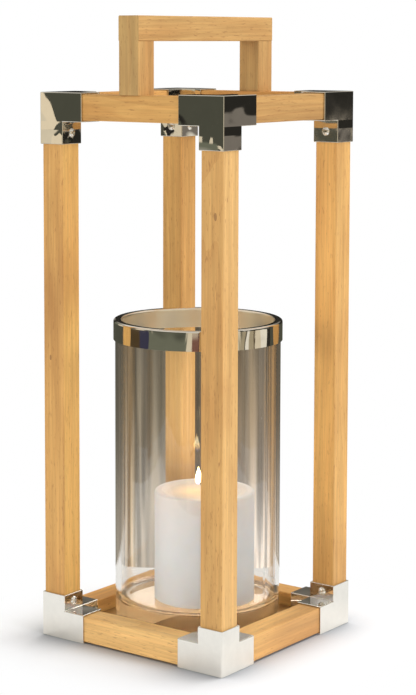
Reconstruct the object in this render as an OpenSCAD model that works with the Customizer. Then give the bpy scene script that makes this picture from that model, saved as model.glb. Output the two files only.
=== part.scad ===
// Candle lantern: an open square frame of wooden bars held at the corners by
// folded metal sleeves, a wooden carrying handle on top, and a heavy glass
// cylinder with a metal rim collar that holds a pillar candle.
// Millimetres. +Z is up, the origin is the centre of the footprint on the
// ground, and the front of the lantern faces -Y.

/* [Frame] */
// Outside width of the square frame, measured over the corner sleeves
frame_w = 220; // [196:1:300]
// Height of the frame from the ground to the top of the upper sleeves
frame_h = 540; // [450:5:760]
// Side of the square wooden bars
bar = 25; // [20:0.5:32]
// Width of the small chamfer along the edges of the wooden bars
bar_ease = 0.8; // [0.3:0.1:2]

/* [Corner sleeves] */
// Thickness of the sheet metal
sheet = 1.5; // [1:0.1:2.5]
// Gap between a bar and the inside of its sleeve
sleeve_gap = 0.2; // [0.1:0.05:0.6]
// Length of the two level arms, measured from the outer corner
arm_level = 52; // [44:1:64]
// Length of the upright arm of an upper sleeve
arm_up_top = 50.5; // [46:0.5:70]
// Length of the upright arm of a lower sleeve
arm_up_bottom = 44; // [42:0.5:60]

/* [Screws and dowels] */
// Diameter of the pan head of a sleeve screw
screw_head_d = 8.6; // [6:0.2:11]
// Height of the pan head of a sleeve screw
screw_head_h = 2.4; // [1.6:0.1:3.4]
// Diameter of the shank of a sleeve screw
screw_d = 4; // [3:0.2:5]
// Length of the shank of a sleeve screw, below the head
screw_len = 10.5; // [8:0.5:11]
// Diameter of the hidden wooden dowels
dowel_d = 6; // [5:0.5:8]
// Length of the hidden wooden dowels
dowel_len = 24; // [18:1:28]
// Depth of a dowel inside a post
dowel_in_post = 9; // [7:0.5:9]

/* [Base panel] */
// Height of the top of the base panel above the ground
panel_top = 13; // [11:0.5:18]
// Thickness of the base panel
panel_t = 8; // [6:0.5:9]
// Depth of the groove in the lower rails that takes the edge of the panel
groove = 5; // [3:0.5:8]

/* [Handle] */
// Side of the square bars of the handle
handle_bar = 24; // [20:0.5:28]
// Height of the top of the handle above the top of the frame
handle_rise = 73; // [66:1:110]

/* [Glass] */
// Outside diameter of the glass cylinder
glass_d = 164.4; // [130:0.2:164.4]
// Thickness of the glass wall
glass_wall = 5; // [3:0.5:8]
// Thickness of the solid glass bottom
glass_bottom = 21.5; // [8:0.5:30]
// Height of the glass cylinder
glass_h = 300.8; // [180:0.2:340]

/* [Rim collar] */
// Outside diameter of the metal collar on the rim of the glass
collar_d = 168; // [133.6:0.2:168]
// Thickness of the collar metal
collar_t = 1.2; // [0.8:0.1:2]
// Height of the collar
collar_h = 20; // [12:0.5:30]
// Gap between the collar and the glass wall
collar_gap = 0.6; // [0.2:0.1:1]

/* [Candle] */
// Diameter of the pillar candle
candle_d = 100; // [60:1:120]
// Height of the pillar candle
candle_h = 108.5; // [60:0.5:150]
// Distance of the candle from the glass axis along X
candle_x = 5.6; // [-10:0.2:10]
// Distance of the candle from the glass axis along Y
candle_y = 4.2; // [-10:0.2:10]
// Diameter of the wick
wick_d = 2.2; // [1.6:0.1:3]
// Free length of the wick above the wax
wick_up = 11; // [6:0.5:15]

/* [Hidden] */
// Number of sides of the smaller round shapes
$fn = 48;
// Half of the frame width
half = frame_w / 2;
// Distance from the outside of a sleeve to the wood inside it
inset = sheet + sleeve_gap;
// Outside width of a square sleeve
sleeve = bar + 2 * inset;
// Distance from the centre to the outer face of the wood
wood_out = half - inset;
// Distance from the centre to the inner face of the wood
wood_in = wood_out - bar;
// Distance from the centre to the middle of a bar
wood_mid = (wood_out + wood_in) / 2;
// Middle height of the upper rails
rail_top_z = frame_h - inset - bar / 2;
// Middle height of the lower rails
rail_bottom_z = inset + bar / 2;
// Height of the screws in the upper and in the lower sleeves
screw_top_z = frame_h - (sleeve + arm_up_top) / 2;
screw_bottom_z = (sleeve + arm_up_bottom) / 2;
// Height of the top face of the upper rails, where the handle stands
handle_foot = frame_h - inset;
// Height of the top and of the underside of the handle crossbar
handle_top = frame_h + handle_rise;
handle_under = handle_top - handle_bar;
// Distance from the centre to the middle of a handle leg
leg_mid = half - handle_bar / 2;
// Distance of the paired handle dowels from the middle of the bar
pair = handle_bar / 4;
// Gap left round the base panel, and between its faces and its groove
panel_gap = 0.5;
groove_fit = 0.1;
// Half of the width of the panel tongue, between the lower sleeves
tongue = half - arm_level - 2 * panel_gap;
// Half of the body of the panel, inside the lower sleeves
panel_half = half - sleeve - panel_gap;
// Height of the underside of the glass and of its inner floor
glass_z = panel_top;
floor_z = glass_z + glass_bottom;
// Height of the rim of the glass
rim_z = glass_z + glass_h;
// Inside radius of the glass
glass_ri = glass_d / 2 - glass_wall;
// Radius of the rounded heel of the glass
heel_r = 4;
// Radius of the rounded corner inside the bottom of the glass, clear of the
// candle
candle_reach = candle_d / 2 + norm([candle_x, candle_y]);
inside_r = max(1, min(9, glass_ri - candle_reach - 1));
// Radius of the rolled upper edges of the collar
collar_edge = 2.4;
// Radius of the worn upper edge of the candle
wax_edge = 2.5;
// Depth and radius of the pool melted into the top of the candle, and the
// width of the slope between its edge and its floor
pool_depth = 2.2;
pool_r = candle_d / 2 - 7;
pool_slope = 6;
// Gap between the wick and the wax, and below the foot of the wick
wick_fit = 0.1;
wick_foot = 1;
// Extra length that makes a cut pass through a face
over = 1;
// Loose fit of a dowel or a screw in its hole, at the side and at the end
hole_fit = 0.1;
hole_end = 0.5;
// Length of the chamfer at the ends of a dowel
dowel_tip = 1;
// Length and end diameter of the point of a screw
screw_point = 3;
screw_point_d = 0.8;
// Radius of the domed head of a screw
screw_crown = screw_head_d * 0.62;
// Length, width and depth of the arms of the cross in a screw head
cross_len = screw_head_d * 0.56;
cross_w = 1.2;
cross_depth = screw_head_h * 0.62;

// Colours of the materials
wood_colour = [0.80, 0.62, 0.42];
dowel_colour = [0.86, 0.74, 0.54];
metal_colour = [0.78, 0.79, 0.78];
glass_colour = [0.85, 0.92, 0.93, 0.35];
wax_colour = [0.97, 0.94, 0.86];
wick_colour = [0.20, 0.16, 0.12];

// Section of a wooden bar with chamfered edges
module bar_section(side) {
    a = side / 2;
    b = a - bar_ease;
    polygon([
        [-a, -b], [-b, -a], [b, -a], [a, -b],
        [a, b], [b, a], [-b, a], [-a, b]
    ]);
}

// Upright wooden bar standing on the XY plane
module bar_upright(side, length) {
    linear_extrude(height = length)
        bar_section(side);
}

// Level wooden bar along X, centred on the origin
module bar_level(side, length) {
    translate([-length / 2, 0, 0])
        rotate([90, 0, 90])
            linear_extrude(height = length)
                bar_section(side);
}

// Hole for a dowel, centred on the origin and running along X
module dowel_hole(depth) {
    translate([-depth, 0, 0])
        rotate([0, 90, 0])
            cylinder(d = dowel_d + 2 * hole_fit, h = 2 * depth);
}

// Dowel along X with chamfered ends, centred on the origin
module dowel() {
    flat = dowel_len / 2 - dowel_tip;
    end_d = dowel_d - 2 * dowel_tip;
    rotate([0, 90, 0]) {
        translate([0, 0, -flat])
            cylinder(d = dowel_d, h = 2 * flat);
        translate([0, 0, flat])
            cylinder(d1 = dowel_d, d2 = end_d, h = dowel_tip);
        translate([0, 0, -flat - dowel_tip])
            cylinder(d1 = end_d, d2 = dowel_d, h = dowel_tip);
    }
}

// Pan head screw pointing along -Z, its head resting on the XY plane
module screw() {
    cross_z = screw_head_h - cross_depth;
    difference() {
        union() {
            intersection() {
                cylinder(d = screw_head_d, h = screw_head_h);
                translate([0, 0, screw_head_h - screw_crown])
                    sphere(r = screw_crown);
            }
            translate([0, 0, screw_point - screw_len])
                cylinder(d = screw_d, h = screw_len - screw_point + hole_fit);
            translate([0, 0, -screw_len])
                cylinder(d1 = screw_point_d, d2 = screw_d, h = screw_point);
        }
        translate([-cross_len / 2, -cross_w / 2, cross_z])
            cube([cross_len, cross_w, cross_depth + over]);
        translate([-cross_w / 2, -cross_len / 2, cross_z])
            cube([cross_w, cross_len, cross_depth + over]);
    }
}

// Post of the front left corner, full height inside both sleeves
module post() {
    hole = dowel_in_post + hole_end;
    pilot = screw_len - inset + hole_end;
    difference() {
        translate([-wood_mid, -wood_mid, inset])
            bar_upright(bar, frame_h - 2 * inset);
        for (z = [rail_bottom_z, rail_top_z]) {
            translate([-wood_in, -wood_mid, z])
                dowel_hole(hole);
            translate([-wood_mid, -wood_in, z])
                rotate([0, 0, 90])
                    dowel_hole(hole);
        }
        for (z = [screw_bottom_z, screw_top_z]) {
            translate([-wood_in - pilot, -wood_mid, z])
                rotate([0, 90, 0])
                    cylinder(d = screw_d + 2 * hole_fit, h = pilot + over);
            translate([-wood_mid, -wood_in - pilot, z])
                rotate([-90, 0, 0])
                    cylinder(d = screw_d + 2 * hole_fit, h = pilot + over);
        }
    }
}

module post_front_left() {
    color(wood_colour)
        post();
}

module post_front_right() {
    color(wood_colour)
        mirror([1, 0, 0])
            post();
}

module post_back_left() {
    color(wood_colour)
        mirror([0, 1, 0])
            post();
}

module post_back_right() {
    color(wood_colour)
        mirror([1, 0, 0])
            mirror([0, 1, 0])
                post();
}

// Rail between two posts, on the front side, with a dowel hole in each end
module rail(z) {
    depth = dowel_len - dowel_in_post + hole_end;
    difference() {
        translate([0, -wood_mid, z])
            bar_level(bar, 2 * wood_in);
        for (x = [-wood_in, wood_in])
            translate([x, -wood_mid, z])
                dowel_hole(depth);
    }
}

// Upper front rail with the two dowel holes of the handle leg
module top_rail_with_leg() {
    difference() {
        rail(rail_top_z);
        for (x = [-pair, pair])
            translate([x, -leg_mid, handle_foot])
                rotate([0, 90, 0])
                    dowel_hole(dowel_len / 2 + hole_end);
    }
}

// Lower front rail with the groove that takes the edge of the base panel
module bottom_rail() {
    difference() {
        rail(rail_bottom_z);
        translate([-tongue - panel_gap, -wood_in - groove, panel_top - panel_t - groove_fit])
            cube([2 * (tongue + panel_gap), groove + over, panel_t + 2 * groove_fit]);
    }
}

module top_rail_front() {
    color(wood_colour)
        top_rail_with_leg();
}

module top_rail_back() {
    color(wood_colour)
        mirror([0, 1, 0])
            top_rail_with_leg();
}

module top_rail_left() {
    color(wood_colour)
        rotate([0, 0, -90])
            rail(rail_top_z);
}

module top_rail_right() {
    color(wood_colour)
        rotate([0, 0, 90])
            rail(rail_top_z);
}

module bottom_rail_front() {
    color(wood_colour)
        bottom_rail();
}

module bottom_rail_back() {
    color(wood_colour)
        rotate([0, 0, 180])
            bottom_rail();
}

module bottom_rail_left() {
    color(wood_colour)
        rotate([0, 0, -90])
            bottom_rail();
}

module bottom_rail_right() {
    color(wood_colour)
        rotate([0, 0, 90])
            bottom_rail();
}

// Three-way sleeve with its outer corner at the origin, upright arm along +Z,
// with a screw hole in each inner plate of the upright arm
module sleeve_body(arm_up) {
    room = sleeve - 2 * sheet;
    screw_z = (sleeve + arm_up) / 2;
    difference() {
        union() {
            cube([arm_level, sleeve, sleeve]);
            cube([sleeve, arm_level, sleeve]);
            cube([sleeve, sleeve, arm_up]);
        }
        translate([sheet, sheet, sheet])
            cube([arm_level, room, room]);
        translate([sheet, sheet, sheet])
            cube([room, arm_level, room]);
        translate([sheet, sheet, sheet])
            cube([room, room, arm_up]);
        translate([sleeve / 2, sleeve / 2, screw_z])
            rotate([0, 90, 0])
                cylinder(d = screw_d + 2 * hole_fit, h = sleeve);
        translate([sleeve / 2, sleeve / 2, screw_z])
            rotate([-90, 0, 0])
                cylinder(d = screw_d + 2 * hole_fit, h = sleeve);
    }
}

// Lower sleeve of the front left corner
module bottom_sleeve() {
    translate([-half, -half, 0])
        sleeve_body(arm_up_bottom);
}

// Upper sleeve of the front left corner, turned upside down
module top_sleeve() {
    translate([-half, -half, frame_h])
        mirror([0, 0, 1])
            sleeve_body(arm_up_top);
}

module top_sleeve_front_left() {
    color(metal_colour)
        top_sleeve();
}

module top_sleeve_front_right() {
    color(metal_colour)
        mirror([1, 0, 0])
            top_sleeve();
}

module top_sleeve_back_left() {
    color(metal_colour)
        mirror([0, 1, 0])
            top_sleeve();
}

module top_sleeve_back_right() {
    color(metal_colour)
        mirror([1, 0, 0])
            mirror([0, 1, 0])
                top_sleeve();
}

module bottom_sleeve_front_left() {
    color(metal_colour)
        bottom_sleeve();
}

module bottom_sleeve_front_right() {
    color(metal_colour)
        mirror([1, 0, 0])
            bottom_sleeve();
}

module bottom_sleeve_back_left() {
    color(metal_colour)
        mirror([0, 1, 0])
            bottom_sleeve();
}

module bottom_sleeve_back_right() {
    color(metal_colour)
        mirror([1, 0, 0])
            mirror([0, 1, 0])
                bottom_sleeve();
}

// The two screws of each corner at one height
module screw_ring(z) {
    face = half - sleeve;
    for (turn = [0, 90, 180, 270])
        rotate([0, 0, turn]) {
            translate([-face, -wood_mid, z])
                rotate([0, 90, 0])
                    screw();
            translate([-wood_mid, -face, z])
                rotate([-90, 0, 0])
                    screw();
        }
}

module top_screws() {
    color(metal_colour)
        screw_ring(screw_top_z);
}

module bottom_screws() {
    color(metal_colour)
        screw_ring(screw_bottom_z);
}

// The dowels between the rails and the posts at one height
module dowel_ring(z) {
    shift = dowel_len / 2 - dowel_in_post;
    for (turn = [0, 90, 180, 270])
        rotate([0, 0, turn])
            for (side = [-1, 1])
                translate([side * (wood_in - shift), -wood_mid, z])
                    dowel();
}

module top_dowels() {
    color(dowel_colour)
        dowel_ring(rail_top_z);
}

module bottom_dowels() {
    color(dowel_colour)
        dowel_ring(rail_bottom_z);
}

// Square base panel with a tongue on each side for the groove in the rail
module base_panel() {
    reach = wood_in + groove - panel_gap;
    color(wood_colour)
        translate([0, 0, panel_top - panel_t])
            linear_extrude(height = panel_t)
                union() {
                    square(2 * panel_half, center = true);
                    square([2 * tongue, 2 * reach], center = true);
                    square([2 * reach, 2 * tongue], center = true);
                }
}

// Front leg of the handle, standing on the upper front rail
module handle_leg() {
    difference() {
        translate([0, -leg_mid, handle_foot])
            bar_upright(handle_bar, handle_under - handle_foot);
        for (x = [-pair, pair])
            for (z = [handle_foot, handle_under])
                translate([x, -leg_mid, z])
                    rotate([0, 90, 0])
                        dowel_hole(dowel_len / 2 + hole_end);
    }
}

module handle_leg_front() {
    color(wood_colour)
        handle_leg();
}

module handle_leg_back() {
    color(wood_colour)
        mirror([0, 1, 0])
            handle_leg();
}

// Crossbar of the handle, lying on both legs
module handle_crossbar() {
    color(wood_colour)
        difference() {
            translate([0, 0, handle_top - handle_bar / 2])
                rotate([0, 0, 90])
                    bar_level(handle_bar, frame_w);
            for (x = [-pair, pair])
                for (y = [-leg_mid, leg_mid])
                    translate([x, y, handle_under])
                        rotate([0, 90, 0])
                            dowel_hole(dowel_len / 2 + hole_end);
        }
}

module handle_dowels() {
    color(dowel_colour)
        for (x = [-pair, pair])
            for (y = [-leg_mid, leg_mid])
                for (z = [handle_foot, handle_under])
                    translate([x, y, z])
                        rotate([0, 90, 0])
                            dowel();
}

// Half of an upright profile, its lower outer corner rounded
module rounded_half(reach, rise, corner) {
    square([reach - corner, rise]);
    translate([0, corner])
        square([reach, rise - corner]);
    translate([reach - corner, corner])
        circle(r = corner);
}

// Straight glass cylinder with a thick solid bottom, a rounded heel and a
// rounded corner inside
module glass_cylinder() {
    color(glass_colour)
        rotate_extrude()
            translate([0, glass_z])
                difference() {
                    rounded_half(glass_d / 2, glass_h, heel_r);
                    translate([0, glass_bottom])
                        rounded_half(glass_ri, glass_h, inside_r);
                }
}

// Channel-shaped metal collar resting on the rim of the glass
module rim_collar() {
    r_out = collar_d / 2;
    r_in = glass_ri - collar_gap - collar_t;
    top = rim_z + collar_t;
    edge = collar_edge;
    color(metal_colour)
        rotate_extrude()
            difference() {
                union() {
                    translate([r_in, top - collar_h])
                        square([r_out - r_in, collar_h - edge]);
                    translate([r_in + edge, top - edge - over])
                        square([r_out - r_in - 2 * edge, edge + over]);
                    translate([r_in + edge, top - edge])
                        circle(r = edge);
                    translate([r_out - edge, top - edge])
                        circle(r = edge);
                }
                translate([r_in + collar_t, top - collar_h - over])
                    square([r_out - r_in - 2 * collar_t, collar_h - collar_t + over]);
            }
}

// Pillar candle with a softened edge, a shallow melted pool and a wick bore
module candle_wax() {
    r = candle_d / 2;
    edge = wax_edge;
    mouth_r = pool_r + pool_slope * over / pool_depth;
    color(wax_colour)
        translate([candle_x, candle_y, floor_z])
            difference() {
                rotate_extrude()
                    union() {
                        square([r, candle_h - edge]);
                        translate([0, candle_h - edge - over])
                            square([r - edge, edge + over]);
                        translate([r - edge, candle_h - edge])
                            circle(r = edge);
                    }
                translate([0, 0, candle_h - pool_depth])
                    cylinder(r1 = pool_r - pool_slope, r2 = mouth_r, h = pool_depth + over);
                translate([0, 0, -over])
                    cylinder(d = wick_d + 2 * wick_fit, h = candle_h + 2 * over);
            }
}

module candle_wick() {
    wick_h = candle_h - pool_depth + wick_up - wick_foot;
    color(wick_colour)
        translate([candle_x, candle_y, floor_z + wick_foot])
            cylinder(d = wick_d, h = wick_h);
}

post_front_left();
post_front_right();
post_back_left();
post_back_right();
top_rail_front();
top_rail_back();
top_rail_left();
top_rail_right();
bottom_rail_front();
bottom_rail_back();
bottom_rail_left();
bottom_rail_right();
top_sleeve_front_left();
top_sleeve_front_right();
top_sleeve_back_left();
top_sleeve_back_right();
bottom_sleeve_front_left();
bottom_sleeve_front_right();
bottom_sleeve_back_left();
bottom_sleeve_back_right();
top_screws();
bottom_screws();
top_dowels();
bottom_dowels();
base_panel();
handle_leg_front();
handle_leg_back();
handle_crossbar();
handle_dowels();
glass_cylinder();
rim_collar();
candle_wax();
candle_wick();
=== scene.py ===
import math
import random

import bmesh
import bpy
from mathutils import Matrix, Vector


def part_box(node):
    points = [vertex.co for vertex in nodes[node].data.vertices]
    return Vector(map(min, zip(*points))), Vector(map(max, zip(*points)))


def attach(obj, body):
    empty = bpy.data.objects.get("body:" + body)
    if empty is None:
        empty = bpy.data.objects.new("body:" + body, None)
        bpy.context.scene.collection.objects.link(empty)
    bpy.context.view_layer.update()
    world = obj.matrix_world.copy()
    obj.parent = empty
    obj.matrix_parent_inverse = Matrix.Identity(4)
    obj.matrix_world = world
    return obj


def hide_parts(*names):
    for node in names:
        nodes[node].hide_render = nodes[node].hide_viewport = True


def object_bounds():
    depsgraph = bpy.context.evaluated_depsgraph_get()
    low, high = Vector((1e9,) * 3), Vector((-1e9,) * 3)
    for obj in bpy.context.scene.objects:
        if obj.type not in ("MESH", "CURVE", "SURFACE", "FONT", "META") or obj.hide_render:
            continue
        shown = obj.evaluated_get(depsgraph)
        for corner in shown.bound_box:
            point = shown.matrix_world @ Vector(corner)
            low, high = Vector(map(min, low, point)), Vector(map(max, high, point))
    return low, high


# ---------------------------------------------------------------- frame and sizes
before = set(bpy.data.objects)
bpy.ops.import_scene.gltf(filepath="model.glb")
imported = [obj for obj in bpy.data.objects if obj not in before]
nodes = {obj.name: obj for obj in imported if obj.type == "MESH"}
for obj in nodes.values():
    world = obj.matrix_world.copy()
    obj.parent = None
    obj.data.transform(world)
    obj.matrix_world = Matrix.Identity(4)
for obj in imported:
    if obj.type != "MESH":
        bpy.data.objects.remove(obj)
cad_low, cad_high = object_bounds()

MM = 0.001
frame_low, frame_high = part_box("top_sleeve_front_left")
frame_top = frame_high.z
glass_low, glass_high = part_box("glass_cylinder")
wax_low, wax_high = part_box("candle_wax")
wick_low, wick_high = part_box("candle_wick")
candle_mid = (wax_low + wax_high) / 2

# outer width of a sleeve's square arms, and how far down an upright arm the sheet is still smooth
SLEEVE = 28.4 * MM
SMOOTH_ARM = 8 * MM
# depth of the hollow in the candle's top
POOL_DEPTH = 2.2 * MM
pool_z = wax_high.z - POOL_DEPTH

SIDES = ("front_left", "front_right", "back_left", "back_right")
RAILS = ("front", "back", "left", "right")

# ---------------------------------------------------------------- camera
CAMERA_AZIMUTH = math.radians(36.5)
CAMERA_DISTANCE = 1.890
CAMERA_HEIGHT = 0.589
CAMERA_TURN = math.radians(1.37)
CAMERA_PITCH = math.radians(5.39)

camera_data = bpy.data.cameras.new("camera")
camera_data.lens = 99.5
camera_data.sensor_width = 36.0
camera_data.shift_x = 0.08
camera_data.shift_y = -0.18
camera = bpy.data.objects.new("camera", camera_data)
bpy.context.scene.collection.objects.link(camera)
camera.location = (
    CAMERA_DISTANCE * math.sin(CAMERA_AZIMUTH),
    -CAMERA_DISTANCE * math.cos(CAMERA_AZIMUTH),
    CAMERA_HEIGHT,
)
camera.rotation_euler = (math.pi / 2 - CAMERA_PITCH, 0, CAMERA_AZIMUTH + CAMERA_TURN)
bpy.context.scene.camera = camera


# ---------------------------------------------------------------- node helpers
class Graph:
    """A material's or world's node tree, with short ways to add and link nodes."""

    def __init__(self, owner):
        owner.use_nodes = True
        self.tree = owner.node_tree
        self.tree.nodes.clear()

    def add(self, kind, props=None, **inputs):
        """Adds a node. inputs are its sockets by name, with _ for a space."""
        node = self.tree.nodes.new(kind)
        for key, value in (props or {}).items():
            setattr(node, key, value)
        for key, value in inputs.items():
            self.put(node, key.replace("_", " "), value)
        return node

    def put(self, node, key, value):
        """Links or sets the input of a node that key, a name or a number, stands for."""
        socket = node.inputs[key]
        if isinstance(value, bpy.types.NodeSocket):
            self.tree.links.new(value, socket)
        else:
            socket.default_value = value

    def put_all(self, node, values):
        """Fills a node's first inputs in order and gives the node back."""
        for index, value in enumerate(values):
            self.put(node, index, value)
        return node

    def math(self, operation, *values, clamp=False):
        node = self.add("ShaderNodeMath", {"operation": operation, "use_clamp": clamp})
        return self.put_all(node, values).outputs[0]

    def vector_math(self, operation, *values):
        return self.put_all(self.add("ShaderNodeVectorMath", {"operation": operation}), values)

    def mix_shader(self, share, a, b):
        return self.put_all(self.add("ShaderNodeMixShader"), (share, a, b)).outputs[0]

    def parts(self, vector):
        """The X, Y and Z outputs of a vector."""
        return self.add("ShaderNodeSeparateXYZ", Vector=vector).outputs

    def mapped(self, vector, **how):
        return self.add("ShaderNodeMapping", Vector=vector, **how).outputs["Vector"]

    def ramp(self, share, stops, interpolation="LINEAR"):
        """stops is a list of (place, colour)."""
        node = self.add("ShaderNodeValToRGB")
        node.color_ramp.interpolation = interpolation
        elements = node.color_ramp.elements
        while len(elements) < len(stops):
            elements.new(0.5)
        for element, (place, colour) in zip(elements, stops):
            element.position = place
            element.color = (*colour, 1.0)
        self.put(node, 0, share)
        return node.outputs["Color"]

    def grey(self, stops, share, interpolation="LINEAR"):
        """stops is a list of (place, value)."""
        return self.ramp(share, [(place, (v, v, v)) for place, v in stops], interpolation)

    def blend(self, mode, share, a, b):
        """Mixes two colours, each a socket or three numbers."""
        node = self.add("ShaderNodeMix", {"data_type": "RGBA", "blend_type": mode})
        self.put(node, 0, share)
        for index, colour in ((6, a), (7, b)):
            self.put(node, index, (*colour, 1.0) if isinstance(colour, tuple) else colour)
        return node.outputs[2]

    def noise(self, vector, scale, detail=3.0, rough=0.5, distortion=0.0):
        node = self.add(
            "ShaderNodeTexNoise",
            Vector=vector, Scale=scale, Detail=detail, Roughness=rough, Distortion=distortion,
        )
        return node.outputs["Fac"]

    def bump(self, height, strength, distance, normal=None):
        node = self.add("ShaderNodeBump", Strength=strength, Distance=distance, Height=height)
        if normal is not None:
            self.put(node, "Normal", normal)
        return node.outputs["Normal"]

    def output(self, shader, kind="ShaderNodeOutputMaterial"):
        self.add(kind, Surface=shader)


def material(name):
    made = bpy.data.materials.new(name)
    return made, Graph(made)


def dress(name, look):
    """Gives a carried-over CAD node its material."""
    materials = nodes[name].data.materials
    materials.clear()
    materials.append(look)


# points this close are welded, and edges sharper than this are rounded
WELD_REACH = 0.02 * MM
SHARP_ANGLE = math.radians(30)


def soften(name, width, segments=3):
    """Welds a CAD node's mesh and rounds its sharp edges."""
    piece = nodes[name]
    weld = piece.modifiers.new("weld", "WELD")
    weld.merge_threshold = WELD_REACH
    bevel = piece.modifiers.new("bevel", "BEVEL")
    bevel.width = width
    bevel.segments = segments
    bevel.limit_method = "ANGLE"
    bevel.angle_limit = SHARP_ANGLE
    bevel.use_clamp_overlap = True
    bevel.harden_normals = False
    for polygon in piece.data.polygons:
        polygon.use_smooth = True
    smooth = piece.modifiers.new("normals", "WEIGHTED_NORMAL")
    smooth.keep_sharp = True


# ---------------------------------------------------------------- wood
PLAIN = (1.0, 1.0, 1.0)
GRAIN_TURN = {"x": (0, math.pi / 2, 0), "y": (math.pi / 2, 0, 0), "z": (0, 0, 0)}


def growth_rings(g, stretched, scale):
    """Growth rings about a distant pith, wandering a little along the bar."""
    drift = g.add("ShaderNodeTexNoise", Vector=stretched(0.35), Scale=9.0, Detail=2.0)
    bent = g.vector_math("MULTIPLY_ADD", drift.outputs["Color"], (0.030, 0.030, 0.0), stretched(0.05))
    rings = g.add(
        "ShaderNodeTexWave",
        {"wave_type": "RINGS", "rings_direction": "Z", "wave_profile": "SAW"},
        Vector=bent.outputs["Vector"], Scale=scale, Distortion=1.6, Detail=3.0, Detail_Scale=1.2,
    )
    return rings.outputs["Fac"]


def fleck_spots(g, vector, strength):
    """A few small dark flecks, and one or two pin knots."""
    cells = g.add("ShaderNodeTexVoronoi", {"feature": "F1"}, Vector=vector, Scale=42.0)
    spot = g.math("LESS_THAN", cells.outputs["Distance"], 0.075)
    chosen = g.add("ShaderNodeSeparateColor", Color=cells.outputs["Color"])
    spot = g.math("MULTIPLY", spot, g.math("GREATER_THAN", chosen.outputs[0], 0.80))
    return g.math("MULTIPLY", spot, g.math("MULTIPLY", strength, 1.1))


def wood(name, axis, seed, warmth=0.5, tint=PLAIN, end_axis=None, side=None):
    """Light, oiled teak-like wood with its grain along one axis of the frame. Its ends show dark end
    grain, or long grain along end_axis, as where a bar's end is faced by the piece it meets. side is
    (axis, tint) of the two faces that get painted light or shade, paler or darker than the others."""
    rnd = random.Random(seed)
    made, g = material("wood_" + name)
    place = g.add("ShaderNodeTexCoord")
    start = [rnd.uniform(-2, 2) for _ in range(3)]
    facing = g.parts(place.outputs["Normal"])

    def square_to(direction):
        """1 on the two faces square to a direction, and 0 on the others."""
        return g.math("GREATER_THAN", g.math("ABSOLUTE", facing["xyz".index(direction)]), 0.8)

    def grain_along(direction):
        return g.mapped(place.outputs["Object"], Rotation=GRAIN_TURN[direction], Location=start)

    end = square_to(axis)
    along = grain_along(axis)
    if end_axis is not None:
        pick = g.add("ShaderNodeMix", {"data_type": "VECTOR"})
        for index, value in ((0, end), (4, along), (5, grain_along(end_axis))):
            g.put(pick, index, value)
        along = pick.outputs[1]

    def stretched(amount):
        return g.mapped(along, Scale=(1.0, 1.0, amount))

    ring = growth_rings(g, stretched, rnd.uniform(62, 84))
    fibre = g.noise(stretched(0.018), 1500.0, 2.0, 0.6)
    streak = g.noise(stretched(0.03), 230.0, 4.0, 0.62)
    patch = g.noise(stretched(0.22), 16.0, 3.0, 0.55, 0.6)
    cloud = g.noise(stretched(0.6), 7.0, 2.0)
    pore = g.noise(stretched(0.14), 620.0, 2.0, 0.7)

    pale = (0.800, 0.450 - 0.02 * warmth, 0.145 - 0.02 * warmth)
    honey = (0.650, 0.325 - 0.02 * warmth, 0.090)
    brown = (0.340, 0.145, 0.045)
    tone = g.ramp(patch, [(0.30, honey), (0.50, pale), (0.70, honey)])
    late = g.math("MULTIPLY", g.grey([(0.0, 0.0), (0.75, 0.25), (1.0, 0.85)], ring), 0.62)
    tone = g.blend("MIX", late, tone, honey)
    tone = g.blend("MULTIPLY", 0.55, tone, g.grey([(0.30, 0.56), (0.66, 1.0)], streak))
    tone = g.blend("MULTIPLY", 0.36, tone, g.grey([(0.25, 0.62), (0.75, 1.0)], fibre))
    tone = g.blend("MIX", g.grey([(0.54, 0.0), (0.70, 0.42)], cloud), tone, brown)
    tone = g.blend("MIX", g.grey([(0.60, 0.0), (0.70, 0.60)], pore), tone, brown)
    tone = g.blend("MIX", fleck_spots(g, stretched(0.45), streak), tone, (0.22, 0.10, 0.04))
    if end_axis is None:
        tone = g.blend("MULTIPLY", g.math("MULTIPLY", end, 0.45), tone, (0.72, 0.58, 0.46))
    tone = g.blend("MULTIPLY", 1.0, tone, tint)
    # painted light and shade: the two faces square to side's axis are made paler or darker, as if they
    # caught more or less light
    if side is not None:
        side_axis, side_light_and_shade = side
        tone = g.blend("MULTIPLY", square_to(side_axis), tone, side_light_and_shade)

    height = g.math("ADD", g.math("MULTIPLY", fibre, 0.5), g.math("MULTIPLY", streak, 0.8))
    open_pore = g.grey([(0.70, 0.0), (0.78, 1.0)], pore)
    height = g.math("SUBTRACT", height, g.math("MULTIPLY", open_pore, 0.5))
    shader = g.add(
        "ShaderNodeBsdfPrincipled",
        Base_Color=tone,
        Roughness=g.grey([(0.2, 0.42), (0.8, 0.60)], streak),
        Normal=g.bump(height, 0.55, 0.22 * MM),
        IOR=1.45,
        Specular_IOR_Level=0.32,
    )
    g.output(shader.outputs[0])
    return made


# ---------------------------------------------------------------- polished metal
NICKEL = (0.80, 0.785, 0.75)
POLISHED = 0.012
# about half the radius of the collar, the one ring here
HALF_RING = 40 * MM


def grown_waves(g, place, waves, arm):
    """A sheet's waves, which grow strong down an upright arm. arm is the heights where the growth starts
    and ends."""
    begin, finish = arm
    grow = g.add(
        "ShaderNodeMapRange",
        Value=g.parts(place.outputs["Object"])[2],
        From_Min=finish, From_Max=begin, To_Min=3.2, To_Max=1.0,
    )
    return g.math("MULTIPLY", waves, grow.outputs["Result"])


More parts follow.
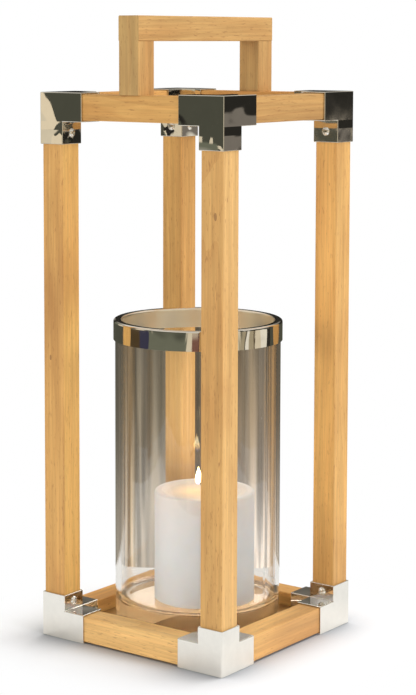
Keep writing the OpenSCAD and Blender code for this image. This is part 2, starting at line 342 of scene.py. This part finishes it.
def bowed(g, place, bow, normal):
    """Bows a sheet. bow is how fast its slope grows across and down, and the x and z where it is
    flat."""
    across_growth, down_growth, flat_x, flat_z = bow
    at = g.parts(place.outputs["Object"])
    across = g.math("SUBTRACT", at[0], flat_x)
    above = g.math("SUBTRACT", at[2], flat_z)
    corner = g.math("MULTIPLY", across, g.math("ADD", g.math("MULTIPLY", across, 0.5), above))
    bulge = g.math("MULTIPLY", g.math("MULTIPLY", above, above), -0.5 * down_growth)
    return g.bump(g.math("ADD", g.math("MULTIPLY", corner, -across_growth), bulge), 1.0, 1.0, normal)


def inner_wall(g, place):
    """1 on the wall of an upright ring that faces its axis, and 0 elsewhere."""
    from_axis = g.vector_math("MULTIPLY", place.outputs["Object"], (1.0, 1.0, 0.0))
    outward = g.vector_math("DOT_PRODUCT", place.outputs["Normal"], from_axis.outputs["Vector"])
    return g.math("LESS_THAN", outward.outputs["Value"], -HALF_RING)


def nickel(name, seed, colour=NICKEL, wave=1.0, wave_scale=30.0, rough=POLISHED,
           arm=None, lean=None, bow=None, satin_inside=None):
    """Polished nickel sheet: gently wavy, with fine wipe marks. lean is the slope of the sheet along x,
    y and z. satin_inside is the roughness of a ring's inner wall. grown_waves says what arm is, and
    bowed what bow is."""
    rnd = random.Random(seed)
    made, g = material("nickel_" + name)
    place = g.add("ShaderNodeTexCoord")
    moved = g.mapped(place.outputs["Object"], Location=[rnd.uniform(-1, 1) for _ in range(3)])
    waves = g.noise(moved, wave_scale, 0.5, 0.4, 0.2)
    marks = g.noise(moved, 900.0, 2.0, 0.6)
    smear = g.noise(moved, 75.0, 4.0, 0.6)
    if arm is not None:
        waves = grown_waves(g, place, waves, arm)
    normal = g.bump(waves, 1.0, 0.9 * MM * wave)
    if lean is not None:
        tipped = g.vector_math("DOT_PRODUCT", place.outputs["Object"], lean)
        normal = g.bump(tipped.outputs["Value"], 1.0, 1.0, normal)
    if bow is not None:
        normal = bowed(g, place, bow, normal)
    normal = g.bump(marks, 0.08, 0.03 * MM, normal)

    roughness = g.grey([(0.35, rough), (0.70, rough + 0.03)], smear)
    tone = g.blend("MULTIPLY", 0.30, colour, g.grey([(0.30, 0.82), (0.70, 1.0)], smear))
    if satin_inside is not None:
        inside = inner_wall(g, place)
        roughness = g.math("MAXIMUM", roughness, g.math("MULTIPLY", inside, satin_inside))
        tone = g.blend("MIX", inside, tone, (0.98, 0.92, 0.80))
    shader = g.add(
        "ShaderNodeBsdfPrincipled", Base_Color=tone, Roughness=roughness, Normal=normal, Metallic=1.0
    )
    g.output(shader.outputs[0])
    return made


# ---------------------------------------------------------------- glass
def clear_glass():
    """Heavy clear glass with faint ripples; lamps and soft light reach what stands inside it."""
    made, g = material("clear_glass")
    place = g.add("ShaderNodeTexCoord").outputs["Object"]
    ripple = g.noise(g.mapped(place, Scale=(1.0, 1.0, 0.10)), 22.0, 1.0, 0.4)
    dust = g.noise(place, 420.0, 1.0)
    solid = g.add(
        "ShaderNodeBsdfPrincipled",
        Roughness=g.grey([(0.76, 0.0), (0.82, 0.22)], dust),
        Normal=g.bump(ripple, 0.5, 0.35 * MM),
        Base_Color=(0.990, 0.993, 0.985, 1.0),
        Transmission_Weight=1.0,
        IOR=1.50,
    )
    passing = g.add("ShaderNodeBsdfTransparent", Color=(0.94, 0.95, 0.94, 1.0))
    path = g.add("ShaderNodeLightPath")
    shown = solid.outputs[0]
    for kind in ("Is Diffuse Ray", "Is Shadow Ray"):
        shown = g.mix_shader(path.outputs[kind], shown, passing.outputs[0])
    g.output(shown)
    return made


# ---------------------------------------------------------------- candle
# how far the flame's glow reaches into the wax, from a point this high above it
GLOW_REACH = 75 * MM
GLOW_ABOVE = 4 * MM


def wax():
    """Ivory wax, with the flame's light painted in near it: a warmer colour, and a glow as though lit
    from inside.
    """
    made, g = material("ivory_wax")
    place = g.add("ShaderNodeTexCoord").outputs["Object"]
    mottle = g.noise(place, 38.0, 4.0, 0.6)
    grain = g.noise(place, 620.0, 2.0)
    shade = (0.735, 0.735, 0.755)
    pale = (0.795, 0.795, 0.815)
    tone = g.blend("MIX", g.grey([(0.3, 0.0), (0.7, 1.0)], mottle), shade, pale)
    away = g.vector_math("DISTANCE", place, (candle_mid.x, candle_mid.y, wax_high.z + GLOW_ABOVE))
    reach = g.math("DIVIDE", away.outputs["Value"], GLOW_REACH, clamp=True)
    # painted light: the wax's colour is tinted warm near the flame
    warmth = g.ramp(
        reach,
        [(0.0, (1.0, 0.78, 0.50)), (0.40, (0.99, 0.87, 0.70)), (0.75, (1.0, 0.96, 0.93)), (1.0, PLAIN)],
    )
    # painted glow: the wax emits light near the flame, though it is no lamp
    glow = g.ramp(
        reach,
        [
            (0.00, (1.0, 0.72, 0.36)),
            (0.20, (0.90, 0.52, 0.24)),
            (0.45, (0.42, 0.20, 0.115)),
            (0.75, (0.12, 0.055, 0.04)),
            (1.00, (0.0, 0.0, 0.0)),
        ],
    )
    height = g.math("ADD", mottle, g.math("MULTIPLY", grain, 0.15))
    shader = g.add(
        "ShaderNodeBsdfPrincipled",
        Base_Color=g.blend("MULTIPLY", 1.0, tone, warmth),
        Normal=g.bump(height, 0.30, 0.6 * MM),
        Emission_Color=glow,
        Emission_Strength=0.15,
        Roughness=0.46,
        Subsurface_Weight=0.45,
        Subsurface_Radius=(1.0, 0.62, 0.42),
        Subsurface_Scale=12 * MM,
    )
    g.output(shader.outputs[0])
    return made


def charred_cotton(low, high):
    """Braided wick: pale at the wax, black at the tip."""
    made, g = material("charred_cotton")
    place = g.add("ShaderNodeTexCoord").outputs["Object"]
    up = g.math("DIVIDE", g.math("SUBTRACT", g.parts(place)[2], low), high - low, clamp=True)
    diagonal = {"wave_type": "BANDS", "bands_direction": "DIAGONAL"}
    braid = g.add("ShaderNodeTexWave", diagonal, Vector=place, Scale=900.0)
    tone = g.ramp(
        up, [(0.0, (0.30, 0.20, 0.12)), (0.35, (0.06, 0.04, 0.03)), (1.0, (0.015, 0.012, 0.010))]
    )
    tone = g.blend("MULTIPLY", 0.5, tone, braid.outputs["Color"])
    normal = g.bump(braid.outputs["Fac"], 0.8, 0.4 * MM)
    shader = g.add("ShaderNodeBsdfPrincipled", Base_Color=tone, Normal=normal, Roughness=0.9)
    g.output(shader.outputs[0])
    return made


def fire(low, high):
    """Flame: blue and faint at the foot, white gold in the body, orange at the tip."""
    made, g = material("fire")
    place = g.add("ShaderNodeTexCoord").outputs["Object"]
    flicker = g.noise(place, 180.0, 1.0)
    up = g.math("DIVIDE", g.math("SUBTRACT", g.parts(place)[2], low), high - low)
    up = g.math("ADD", up, g.math("MULTIPLY", g.math("SUBTRACT", flicker, 0.5), 0.06), clamp=True)
    colour = g.ramp(
        up,
        [
            (0.00, (0.10, 0.22, 0.90)),
            (0.10, (0.55, 0.35, 0.30)),
            (0.28, (1.0, 0.62, 0.24)),
            (0.60, (1.0, 0.86, 0.52)),
            (1.00, (1.0, 0.58, 0.16)),
        ],
    )
    light = g.add("ShaderNodeEmission", Color=colour, Strength=9.0)
    clear = g.add("ShaderNodeBsdfTransparent")
    density = g.grey([(0.0, 0.12), (0.18, 0.55), (0.40, 1.0), (0.88, 1.0), (1.0, 0.35)], up)
    facing = g.add("ShaderNodeLayerWeight", Blend=0.35)
    edge = g.math("SUBTRACT", 1.0, facing.outputs["Facing"], clamp=True)
    shown = g.math("MULTIPLY", density, g.math("POWER", edge, 0.35), clamp=True)
    g.output(g.mix_shader(shown, clear.outputs[0], light.outputs[0]))
    return made


# ---------------------------------------------------------------- looks of the CAD nodes
# widths of the rounded edges
WOOD_EDGE = 0.7 * MM
CROSSBAR_EDGE = 0.9 * MM
PANEL_EDGE = 0.6 * MM
SLEEVE_EDGE = 0.72 * MM
COLLAR_EDGE = 0.45 * MM
SCREW_EDGE = 0.18 * MM

# seeds of the noise, the first of each row where a piece repeats. The handle's pieces share theirs, so
# that the crossbar's end carries on the grain of the leg below it.
POST_SEED = 11
SLEEVE_SEED = {"top": 39, "bottom": 31}
RAIL_SEED = {"top": 59, "bottom": 51}
PANEL_SEED = 71
HANDLE_SEED = 81
SCREW_SEED = 91
DOWEL_SEED = 95
COLLAR_SEED = 97

# how the wood of the pieces differs: its warmth, its tint, and the tint of two of its faces, which is
# painted light and shade: those faces are made paler or darker as if they caught more or less light
POST_WARMTH = {"front_left": 0.6, "front_right": 0.4, "back_left": 0.5, "back_right": 0.7}
POST_TINT = {
    "front_left": (0.98, 1.01, 1.06), "front_right": (0.93, 0.97, 1.07),
    "back_left": PLAIN, "back_right": (0.98, 1.03, 1.10),
}
# painted light and shade: each post's two faces square to the given axis are made paler, or on the back
# left post darker, in place of the light or shade they catch
POST_SIDE_LIGHT_AND_SHADE = {
    "front_left": ("x", (1.22, 1.28, 1.20)), "front_right": ("x", (1.05, 1.10, 1.16)),
    "back_left": ("y", (0.84, 0.87, 0.86)), "back_right": ("y", (1.20, 1.18, 1.14)),
}
RAIL_WARMTH = {"front": 0.30, "back": 0.45, "left": 0.60, "right": 0.75}
# painted light: the bottom rails' tints make them paler and brighter, as if lit by light bounced off the
# floor; the top rails' tints are their own tones
RAIL_TINT_AND_BOUNCE_LIGHT = {
    "bottom_rail_front": (1.26, 1.44, 1.78), "bottom_rail_right": (1.04, 1.14, 1.32),
    "top_rail_front": (0.95, 0.97, 0.98), "top_rail_right": (0.77, 0.81, 0.91),
}
PANEL_WARMTH = 0.9
# the panel's tint darkens it all over: a darker wood, and painted shade where it lies under the rails
# outside the glass
PANEL_TINT_AND_SHADE = (0.45, 0.43, 0.40)
HANDLE_TINT = (0.88, 0.95, 1.10)
# painted shade: the handle's faces square to y, at its ends, are made darker, as in shade
HANDLE_END_SHADE = ("y", (0.84, 0.90, 0.95))

# how the sheet of the upper sleeves differs: its roughness, lean and bow, as nickel takes them
SHEET_ROUGH = {"back_right": 0.11}
SHEET_LEAN = {"front_right": (-0.060, 0.0, 0.0), "back_right": (0.0, 0.0, -0.026)}
SHEET_BOW = {
    "front_left": (1.9, 0.0, frame_low.x + SLEEVE / 2, frame_top - SLEEVE / 2),
    "front_right": (0.0, 1.3, 0.0, frame_top - SLEEVE / 2),
    "back_right": (0.0, 0.8, 0.0, frame_top - SLEEVE / 2),
}
UPRIGHT_ARM = (frame_top - SLEEVE, frame_top - SLEEVE - SMOOTH_ARM)

for count, side in enumerate(SIDES):
    name = "post_" + side
    seed = POST_SEED + count
    dress(name, wood(name, "z", seed, POST_WARMTH[side], POST_TINT[side], side=POST_SIDE_LIGHT_AND_SHADE[side]))
    soften(name, WOOD_EDGE)

    name = "top_sleeve_" + side
    sheet = nickel(
        name, SLEEVE_SEED["top"] + count, rough=SHEET_ROUGH.get(side, POLISHED), arm=UPRIGHT_ARM,
        lean=SHEET_LEAN.get(side), bow=SHEET_BOW.get(side),
    )
    dress(name, sheet)
    soften(name, SLEEVE_EDGE)

    name = "bottom_sleeve_" + side
    dress(name, nickel(name, SLEEVE_SEED["bottom"] + count))
    soften(name, SLEEVE_EDGE)

for count, side in enumerate(RAILS):
    axis = "x" if side in ("front", "back") else "y"
    for level in ("top", "bottom"):
        name = f"{level}_rail_{side}"
        seed = RAIL_SEED[level] + count
        dress(name, wood(name, axis, seed, RAIL_WARMTH[side], RAIL_TINT_AND_BOUNCE_LIGHT.get(name, PLAIN)))
        soften(name, WOOD_EDGE)

dress("base_panel", wood("base_panel", "y", PANEL_SEED, PANEL_WARMTH, PANEL_TINT_AND_SHADE))
soften("base_panel", PANEL_EDGE, 2)
for name in ("handle_leg_front", "handle_leg_back"):
    dress(name, wood(name, "z", HANDLE_SEED, tint=HANDLE_TINT, side=HANDLE_END_SHADE))
    soften(name, WOOD_EDGE)
crossbar_wood = wood(
    "handle_crossbar", "y", HANDLE_SEED, tint=HANDLE_TINT, end_axis="z", side=HANDLE_END_SHADE
)
dress("handle_crossbar", crossbar_wood)
soften("handle_crossbar", CROSSBAR_EDGE)

screw_metal = nickel(
    "screws", SCREW_SEED, (0.83, 0.81, 0.77), wave=0.3, wave_scale=300.0, rough=0.10
)
for name in ("top_screws", "bottom_screws"):
    dress(name, screw_metal)
    soften(name, SCREW_EDGE, 2)
dowel_wood = wood("dowels", "z", DOWEL_SEED)
for name in ("top_dowels", "bottom_dowels", "handle_dowels"):
    dress(name, dowel_wood)

dress("glass_cylinder", clear_glass())
collar_metal = nickel(
    "rim_collar", COLLAR_SEED, (0.80, 0.775, 0.73), wave=0.9, wave_scale=34.0, rough=0.04,
    satin_inside=0.30,
)
dress("rim_collar", collar_metal)
soften("rim_collar", COLLAR_EDGE)
dress("candle_wax", wax())

# ---------------------------------------------------------------- wick and flame
# the wick stands upright out of the wax and then leans to the left, seen from the front corner
WICK_LEAN = 6.4 * MM
WICK_UPRIGHT = 1.5 * MM
WICK_TRIM = 1 * MM
WICK_STEPS = 8
FLAME_HEIGHT = 18.5 * MM
FLAME_RADIUS = 3.5 * MM
FLAME_OVERLAP = 3.0 * MM
FLAME_SWAY = 0.5 * MM
FLAME_STEPS = 24
FLAME_SIDES = 24


def tube(name, points, radius_at, sides=12):
    """A closed upright tube along points, its radius a function of the share of its length."""
    shape = bmesh.new()
    angles = [2 * math.pi * corner / sides for corner in range(sides)]
    rings = []
    for count, point in enumerate(points):
        radius = radius_at(count / (len(points) - 1))
        spokes = [Vector((radius * math.cos(angle), radius * math.sin(angle), 0)) for angle in angles]
        rings.append([shape.verts.new(point + spoke) for spoke in spokes])
    for low, high in zip(rings, rings[1:]):
        for corner in range(sides):
            after = (corner + 1) % sides
            shape.faces.new((low[corner], low[after], high[after], high[corner]))
    shape.faces.new(list(reversed(rings[0])))
    shape.faces.new(rings[-1])
    mesh = bpy.data.meshes.new(name)
    shape.to_mesh(mesh)
    shape.free()
    for polygon in mesh.polygons:
        polygon.use_smooth = True
    piece = bpy.data.objects.new(name, mesh)
    bpy.context.scene.collection.objects.link(piece)
    return piece


def wick_radius(share):
    """Even up to the charred tip, which is swollen and then rounded off."""
    thickness = 1.0 if share < 0.9 else 1.15 - 0.5 * (share - 0.9) / 0.1
    return (wick_high.x - wick_low.x) / 2 * thickness


def flame_radius(share):
    """Teardrop: round below, drawn out to a point above."""
    bulge = math.sin(math.pi * min(1.0, share ** 0.62)) ** 0.85
    return FLAME_RADIUS * max(0.02, bulge * (1.0 - 0.25 * share))


lean_to = Vector((-math.cos(CAMERA_AZIMUTH), -math.sin(CAMERA_AZIMUTH), 0)) * WICK_LEAN
wick_foot = Vector((candle_mid.x, candle_mid.y, wick_low.z))
wick_bend = Vector((candle_mid.x, candle_mid.y, pool_z + WICK_UPRIGHT))
wick_path = [wick_foot, wick_bend]
for step in range(1, WICK_STEPS + 1):
    share = step / WICK_STEPS
    rise = (wick_high.z - WICK_TRIM - wick_bend.z) * share
    wick_path.append(wick_bend + Vector((0, 0, rise)) + lean_to * share ** 1.7)
wick = tube("wick", wick_path, wick_radius)
wick.data.materials.append(charred_cotton(pool_z, wick_high.z))
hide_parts("candle_wick")
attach(wick, "candle")

flame_foot = wick_path[-1] - Vector((0, 0, FLAME_OVERLAP))
flame_path = []
for step in range(FLAME_STEPS + 1):
    share = step / FLAME_STEPS
    sway = FLAME_SWAY * math.sin(2.2 * share)
    flame_path.append(flame_foot + Vector((sway, 0, FLAME_HEIGHT * share)))
flame = tube("candle_flame", flame_path, flame_radius, FLAME_SIDES)
flame.data.materials.append(fire(flame_foot.z, flame_foot.z + FLAME_HEIGHT))
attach(flame, "candle")


# ---------------------------------------------------------------- lamps
def add_lamp(name, kind, place, energy, colour, unseen_by=("glossy",), **settings):
    """Adds a light. unseen_by are the kinds of ray that don't see the lamp itself."""
    data = bpy.data.lights.new(name, kind)
    data.energy = energy
    data.color = colour
    for key, value in settings.items():
        setattr(data, key, value)
    lamp = bpy.data.objects.new(name, data)
    bpy.context.scene.collection.objects.link(lamp)
    lamp.location = place
    for ray in unseen_by:
        setattr(lamp, "visible_" + ray, False)
    return lamp


def turn_away(lamp, direction):
    """Turns a lamp so that it shines against a direction."""
    lamp.rotation_euler = direction.to_track_quat("Z", "Y").to_euler()


def soft_lamp(name, place, look_at, size, energy, colour):
    """A soft box that shines from a place towards a point."""
    width, height = size
    lamp = add_lamp(name, "AREA", place, energy, colour, shape="RECTANGLE", size=width, size_y=height)
    turn_away(lamp, Vector(place) - look_at)
    return lamp


# heights of the flame's lamps above its foot, and how far up the back post the second one is aimed
FLAME_LIGHT_UP = 12 * MM
HALO_UP = 25 * MM
HALO_AIM_UP = 32 * MM
# how far the glow in the glass bottom lies below the wax, and its share of the glass's width
GLOW_DOWN = 1.5 * MM
GLOW_SHARE = 0.92

flame_light = add_lamp(
    "flame_light",
    "POINT",
    place=flame_foot + Vector((0, 0, FLAME_LIGHT_UP)),
    energy=0.020,
    colour=(1.0, 0.52, 0.20),
    unseen_by=("camera", "glossy", "transmission"),
    shadow_soft_size=4 * MM,
)
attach(flame_light, "candle")

# the glow that the flame throws on the back of the lantern
halo_place = flame_foot + Vector((0, 0, HALO_UP))
flame_halo = add_lamp(
    "flame_halo",
    "SPOT",
    place=halo_place,
    energy=0.95,
    colour=(0.84, 0.96, 1.22),
    unseen_by=("glossy", "transmission"),
    spot_size=math.radians(75),
    spot_blend=1.0,
    shadow_soft_size=6 * MM,
)
post_low, post_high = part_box("post_back_left")
back_post = (post_low + post_high) / 2
turn_away(flame_halo, halo_place - Vector((back_post.x, back_post.y, halo_place.z + HALO_AIM_UP)))
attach(flame_halo, "candle")

# the light that the heavy glass bottom spreads over the panel under it
base_glow = add_lamp(
    "base_glow",
    "AREA",
    place=(0, 0, wax_low.z - GLOW_DOWN),
    energy=0.24,
    colour=(0.72, 0.90, 1.30),
    unseen_by=("camera", "glossy", "transmission"),
    shape="DISK",
    size=(glass_high.x - glass_low.x) * GLOW_SHARE,
    spread=math.radians(80),
)
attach(base_glow, "candle")

centre = Vector((0, 0, frame_top / 2))
daylight = (1.0, 0.985, 0.96)
key_light = soft_lamp(
    "key_light", (2.6, -0.2, 1.1), centre, size=(1.4, 1.6), energy=42, colour=(0.96, 0.99, 1.12)
)
candle_light = soft_lamp(
    "candle_light", (-2.0, -1.6, 0.25), candle_mid, size=(1.2, 1.0), energy=18, colour=(0.92, 1.0, 1.16)
)
soft_lamp("fill_light", (-1.2, -2.6, 0.9), centre, size=(1.8, 1.4), energy=30, colour=daylight)
soft_lamp("back_light", (-1.4, 2.2, 1.6), centre, size=(1.6, 1.6), energy=16, colour=daylight)
overhead = add_lamp(
    "overhead_light", "SUN", place=(0, 0, 0), energy=2.1, colour=PLAIN, angle=math.radians(50)
)
turn_away(overhead, Vector((0.25, 0.75, 1.0)))


def link_to_wax(lamp, name, state):
    """Lights the wax alone with this lamp, or keeps the lamp off it, as state says."""
    group = bpy.data.collections.new(name)
    group.objects.link(nodes["candle_wax"])
    group.collection_objects[0].light_linking.link_state = state
    lamp.light_linking.receiver_collection = group


# the candle is lit from its left, and its right side lies in shade
link_to_wax(key_light, "out_of_key_light", "EXCLUDE")
link_to_wax(candle_light, "in_candle_light", "INCLUDE")

# ---------------------------------------------------------------- stage
# how far from the lantern the paper carries a painted shadow, and where the paper has turned quite white
CONTACT_REACH = 65 * MM
FADE_REACH = 110 * MM
# corners of the table and the floor, as the camera faces them, and how far they lie below the lantern
TABLE_FRONT_LEFT, TABLE_BACK_RIGHT = (-0.75, -0.62), (0.75, 0.225)
FLOOR_FRONT_LEFT, FLOOR_BACK_RIGHT = (-5.0, -5.0), (5.0, 5.0)
TABLE_DROP = 0.05 * MM
FLOOR_DROP = 0.15 * MM


def way_outside(g):
    """How far a point lies outside the square that the lantern stands on."""
    at = g.parts(g.add("ShaderNodeNewGeometry").outputs["Position"])
    off = g.add("ShaderNodeCombineXYZ")
    for axis in (0, 1):
        beyond = g.math("SUBTRACT", g.math("ABSOLUTE", at[axis]), cad_high.x)
        g.put(off, axis, g.math("MAXIMUM", beyond, 0.0))
    return g.vector_math("LENGTH", off.outputs["Vector"]).outputs["Value"]


def plain_paper():
    """Matt white paper: a painted shadow darkens it close to the lantern, and further out it is as white
    as the backdrop. Metal and glass don't see it in quite the colour that the camera does."""
    made, g = material("white_paper")
    path = g.add("ShaderNodeLightPath")
    fine = g.noise(g.add("ShaderNodeTexCoord").outputs["Object"], 220.0, 3.0)
    # painted contact shadow: ambient occlusion darkens the paper's colour near the lantern, for camera
    # rays only
    near = g.add("ShaderNodeAmbientOcclusion", Distance=CONTACT_REACH)
    shade = g.ramp(near.outputs["AO"], [(0.35, (0.375, 0.392, 0.412)), (1.0, PLAIN)])
    tint = g.blend("MIX", path.outputs["Is Glossy Ray"], PLAIN, (1.05, 1.04, 1.00))
    tint = g.blend("MIX", path.outputs["Is Transmission Ray"], tint, (0.80, 0.77, 0.73))
    tone = g.blend("MIX", fine, (0.90, 0.90, 0.90), (0.885, 0.885, 0.88))
    tone = g.blend("MULTIPLY", 1.0, tone, tint)
    tone = g.blend("MULTIPLY", path.outputs["Is Camera Ray"], tone, shade)
    lit = g.add("ShaderNodeBsdfPrincipled", Base_Color=tone, Roughness=0.9, Specular_IOR_Level=0.0)
    bounce = g.math("ADD", 1.0, g.math("MULTIPLY", path.outputs["Is Diffuse Ray"], 0.14))
    white = g.add("ShaderNodeEmission", Color=tint, Strength=bounce)
    fade = g.grey([(0.0, 0.0), (FADE_REACH, 1.0)], way_outside(g), "EASE")
    g.output(g.mix_shader(fade, lit.outputs[0], white.outputs[0]))
    return made


def flat_panel(name, front_left, back_right, height, look):
    """A level rectangle, turned to lie square to the camera."""
    left, front = front_left
    right, back = back_right
    mesh = bpy.data.meshes.new(name)
    corners = [(left, front, 0), (right, front, 0), (right, back, 0), (left, back, 0)]
    mesh.from_pydata(corners, [], [(0, 1, 2, 3)])
    mesh.materials.append(look)
    panel = bpy.data.objects.new(name, mesh)
    panel.rotation_euler = (0, 0, CAMERA_AZIMUTH)
    panel.location = (0, 0, height)
    bpy.context.scene.collection.objects.link(panel)
    return panel


# a small table, whose back edge shows through the glass, on a wide floor that glass and metal don't see
paper = plain_paper()
flat_panel("table", TABLE_FRONT_LEFT, TABLE_BACK_RIGHT, cad_low.z - TABLE_DROP, paper)
floor = flat_panel("floor", FLOOR_FRONT_LEFT, FLOOR_BACK_RIGHT, cad_low.z - FLOOR_DROP, paper)
floor.visible_transmission = False
floor.visible_glossy = False

# ---------------------------------------------------------------- room
GREEN_GREY = (0.170, 0.175, 0.125)
DARK = (0.082, 0.082, 0.060)
OLIVE = (0.085, 0.056, 0.026)
NAVY = (0.050, 0.048, 0.080)
CREAM = (0.78, 0.68, 0.50)
PEARL = (0.90, 0.76, 0.54)
STRAW = (0.44, 0.37, 0.24)
IVORY = (0.92, 0.86, 0.72)
MAUVE = (0.22, 0.105, 0.075)
BLACK = (0.026, 0.024, 0.020)
TAUPE = (0.21, 0.185, 0.155)


def band_place(azimuth):
    """Where a direction lies on a ramp round the horizon; azimuth 0 is in front and 90 to the right."""
    return azimuth / 360 + 0.5


def round_bands(g, around, bands):
    """Colours round the horizon with sharp edges; bands is a list of (first azimuth, colour)."""
    return g.ramp(around, [(band_place(azimuth), colour) for azimuth, colour in bands], "CONSTANT")


def mirrored_room(g, up, around):
    """What polished metal sees: three sets of upright bands, low down, higher up and from eye level on,
    with a light ceiling over them and an even floor under them."""
    below = round_bands(
        g,
        around,
        [
            (-180, DARK), (-72, OLIVE), (-50, NAVY), (-35, GREEN_GREY), (20, CREAM), (27, MAUVE),
            (37, BLACK), (45, CREAM), (92, STRAW), (103.5, BLACK), (104.5, IVORY), (110, STRAW),
            (117.5, OLIVE), (119, CREAM), (128, IVORY), (143, BLACK), (151, DARK),
        ],
    )
    middle = round_bands(
        g,
        around,
        [
            (-180, DARK), (-120, GREEN_GREY), (-100, CREAM), (-38.5, BLACK), (-36.5, CREAM),
            (-35, GREEN_GREY), (-33, BLACK), (-30, CREAM), (-27, DARK), (18, CREAM), (36, DARK),
            (44, CREAM), (96, DARK), (131, TAUPE), (141, CREAM), (142, TAUPE), (147, CREAM),
            (148, TAUPE),
        ],
    )
    level = round_bands(
        g,
        around,
        [
            (-180, BLACK), (-120, GREEN_GREY), (-100, CREAM), (-84, DARK), (-58, PEARL), (-41, DARK),
            (18, CREAM), (36, DARK), (44, CREAM), (96, BLACK),
        ],
    )
    ceiling = g.ramp(
        up,
        [
            (0.60, DARK),
            (0.64, (0.27, 0.25, 0.21)),
            (0.69, (0.33, 0.30, 0.25)),
            (0.78, (0.95, 0.90, 0.80)),
            (1.00, (0.55, 0.52, 0.45)),
        ],
    )
    room = g.blend("MIX", g.grey([(0.430, 0.0), (0.445, 1.0)], up), below, middle)
    # the bands at eye level begin a little higher beyond the right side than elsewhere
    right_side = g.math("GREATER_THAN", around, band_place(90))
    lowered = g.math("SUBTRACT", g.math("ADD", up, 0.016), g.math("MULTIPLY", right_side, 0.019))
    room = g.blend("MIX", g.grey([(0.4790, 0.0), (0.4805, 1.0)], lowered), room, level)
    room = g.blend("MIX", g.grey([(0.60, 0.0), (0.68, 1.0)], up), room, ceiling)
    return g.blend("MIX", g.grey([(0.30, 1.0), (0.40, 0.0)], up), room, (0.62, 0.57, 0.48))


def glass_backdrop(g, direction, up, around):
    """What glass sees: dark at eye level, lighter lower down, with upright streaks."""
    upright = g.mapped(direction, Scale=(1.0, 1.0, 0.10))
    streaky = g.noise(upright, 34.0, 1.5, 0.5)
    wide = g.noise(upright, 17.0, 1.0)
    behind = g.ramp(
        up,
        [
            (0.30, (0.74, 0.68, 0.60)),
            (0.350, (0.52, 0.47, 0.40)),
            (0.375, (0.38, 0.335, 0.28)),
            (0.392, (0.22, 0.192, 0.155)),
            (0.408, (0.150, 0.130, 0.100)),
            (0.422, (0.110, 0.098, 0.078)),
            (0.60, (0.10, 0.095, 0.075)),
            (0.80, (0.60, 0.58, 0.54)),
        ],
    )
    # the front half of the room, about the front corner's azimuth, is warm and lighter in the glass
    in_front = g.math("COMPARE", around, band_place(36.5), 97.2 / 360)
    behind = g.blend("MIX", g.math("MULTIPLY", in_front, 0.85), behind, (0.46, 0.385, 0.26))
    uneven = g.grey([(0.36, 0.55), (0.48, 0.85), (0.54, 1.25), (0.64, 1.9)], streaky)
    behind = g.blend("MULTIPLY", 1.0, behind, uneven)
    hues = g.ramp(wide, [(0.35, (0.86, 0.84, 0.84)), (0.65, (1.12, 1.06, 0.95))])
    behind = g.blend("MULTIPLY", 1.0, behind, hues)
    # a lighter stretch that shows through the right side of the glass, most of all low down
    right = g.grey([(band_place(-147.0), 1.0), (band_place(-143.0), 0.0)], around)
    behind = g.blend("MULTIPLY", right, behind, (1.32, 1.18, 1.08))
    low_right = g.math("MULTIPLY", right, g.grey([(0.370, 1.0), (0.402, 0.0)], up))
    return g.blend("MULTIPLY", low_right, behind, (1.30, 1.45, 1.65))


def studio():
    """White to the camera, an even light to matt faces, a streaky backdrop through the glass, and to
    polished metal a room with bands of light and dark, darkest at eye level."""
    world = bpy.data.worlds.new("studio")
    bpy.context.scene.world = world
    g = Graph(world)
    direction = g.add("ShaderNodeTexCoord").outputs["Generated"]
    # up is 0 straight down, 0.5 at eye level and 1 overhead, and around is as band_place has it
    east, north, rise = g.parts(direction)
    up = g.math("ADD", g.math("MULTIPLY", rise, 0.5), 0.5)
    turn = g.math("ARCTAN2", east, g.math("MULTIPLY", north, -1.0))
    around = g.math("ADD", g.math("DIVIDE", turn, 2 * math.pi), 0.5)

    path = g.add("ShaderNodeLightPath")
    seen = g.add("ShaderNodeBackground", Color=mirrored_room(g, up, around)).outputs[0]
    for kind, colour, strength in (
        ("Is Transmission Ray", glass_backdrop(g, direction, up, around), 1.0),
        ("Is Diffuse Ray", (1.0, 0.99, 0.97, 1.0), 0.42),
        ("Is Camera Ray", (1.0, 1.0, 1.0, 1.0), 1.0),
    ):
        layer = g.add("ShaderNodeBackground", Color=colour, Strength=strength)
        seen = g.mix_shader(path.outputs[kind], seen, layer.outputs[0])
    g.output(seen, "ShaderNodeOutputWorld")


studio()
bpy.context.scene.view_settings.view_transform = "Standard"
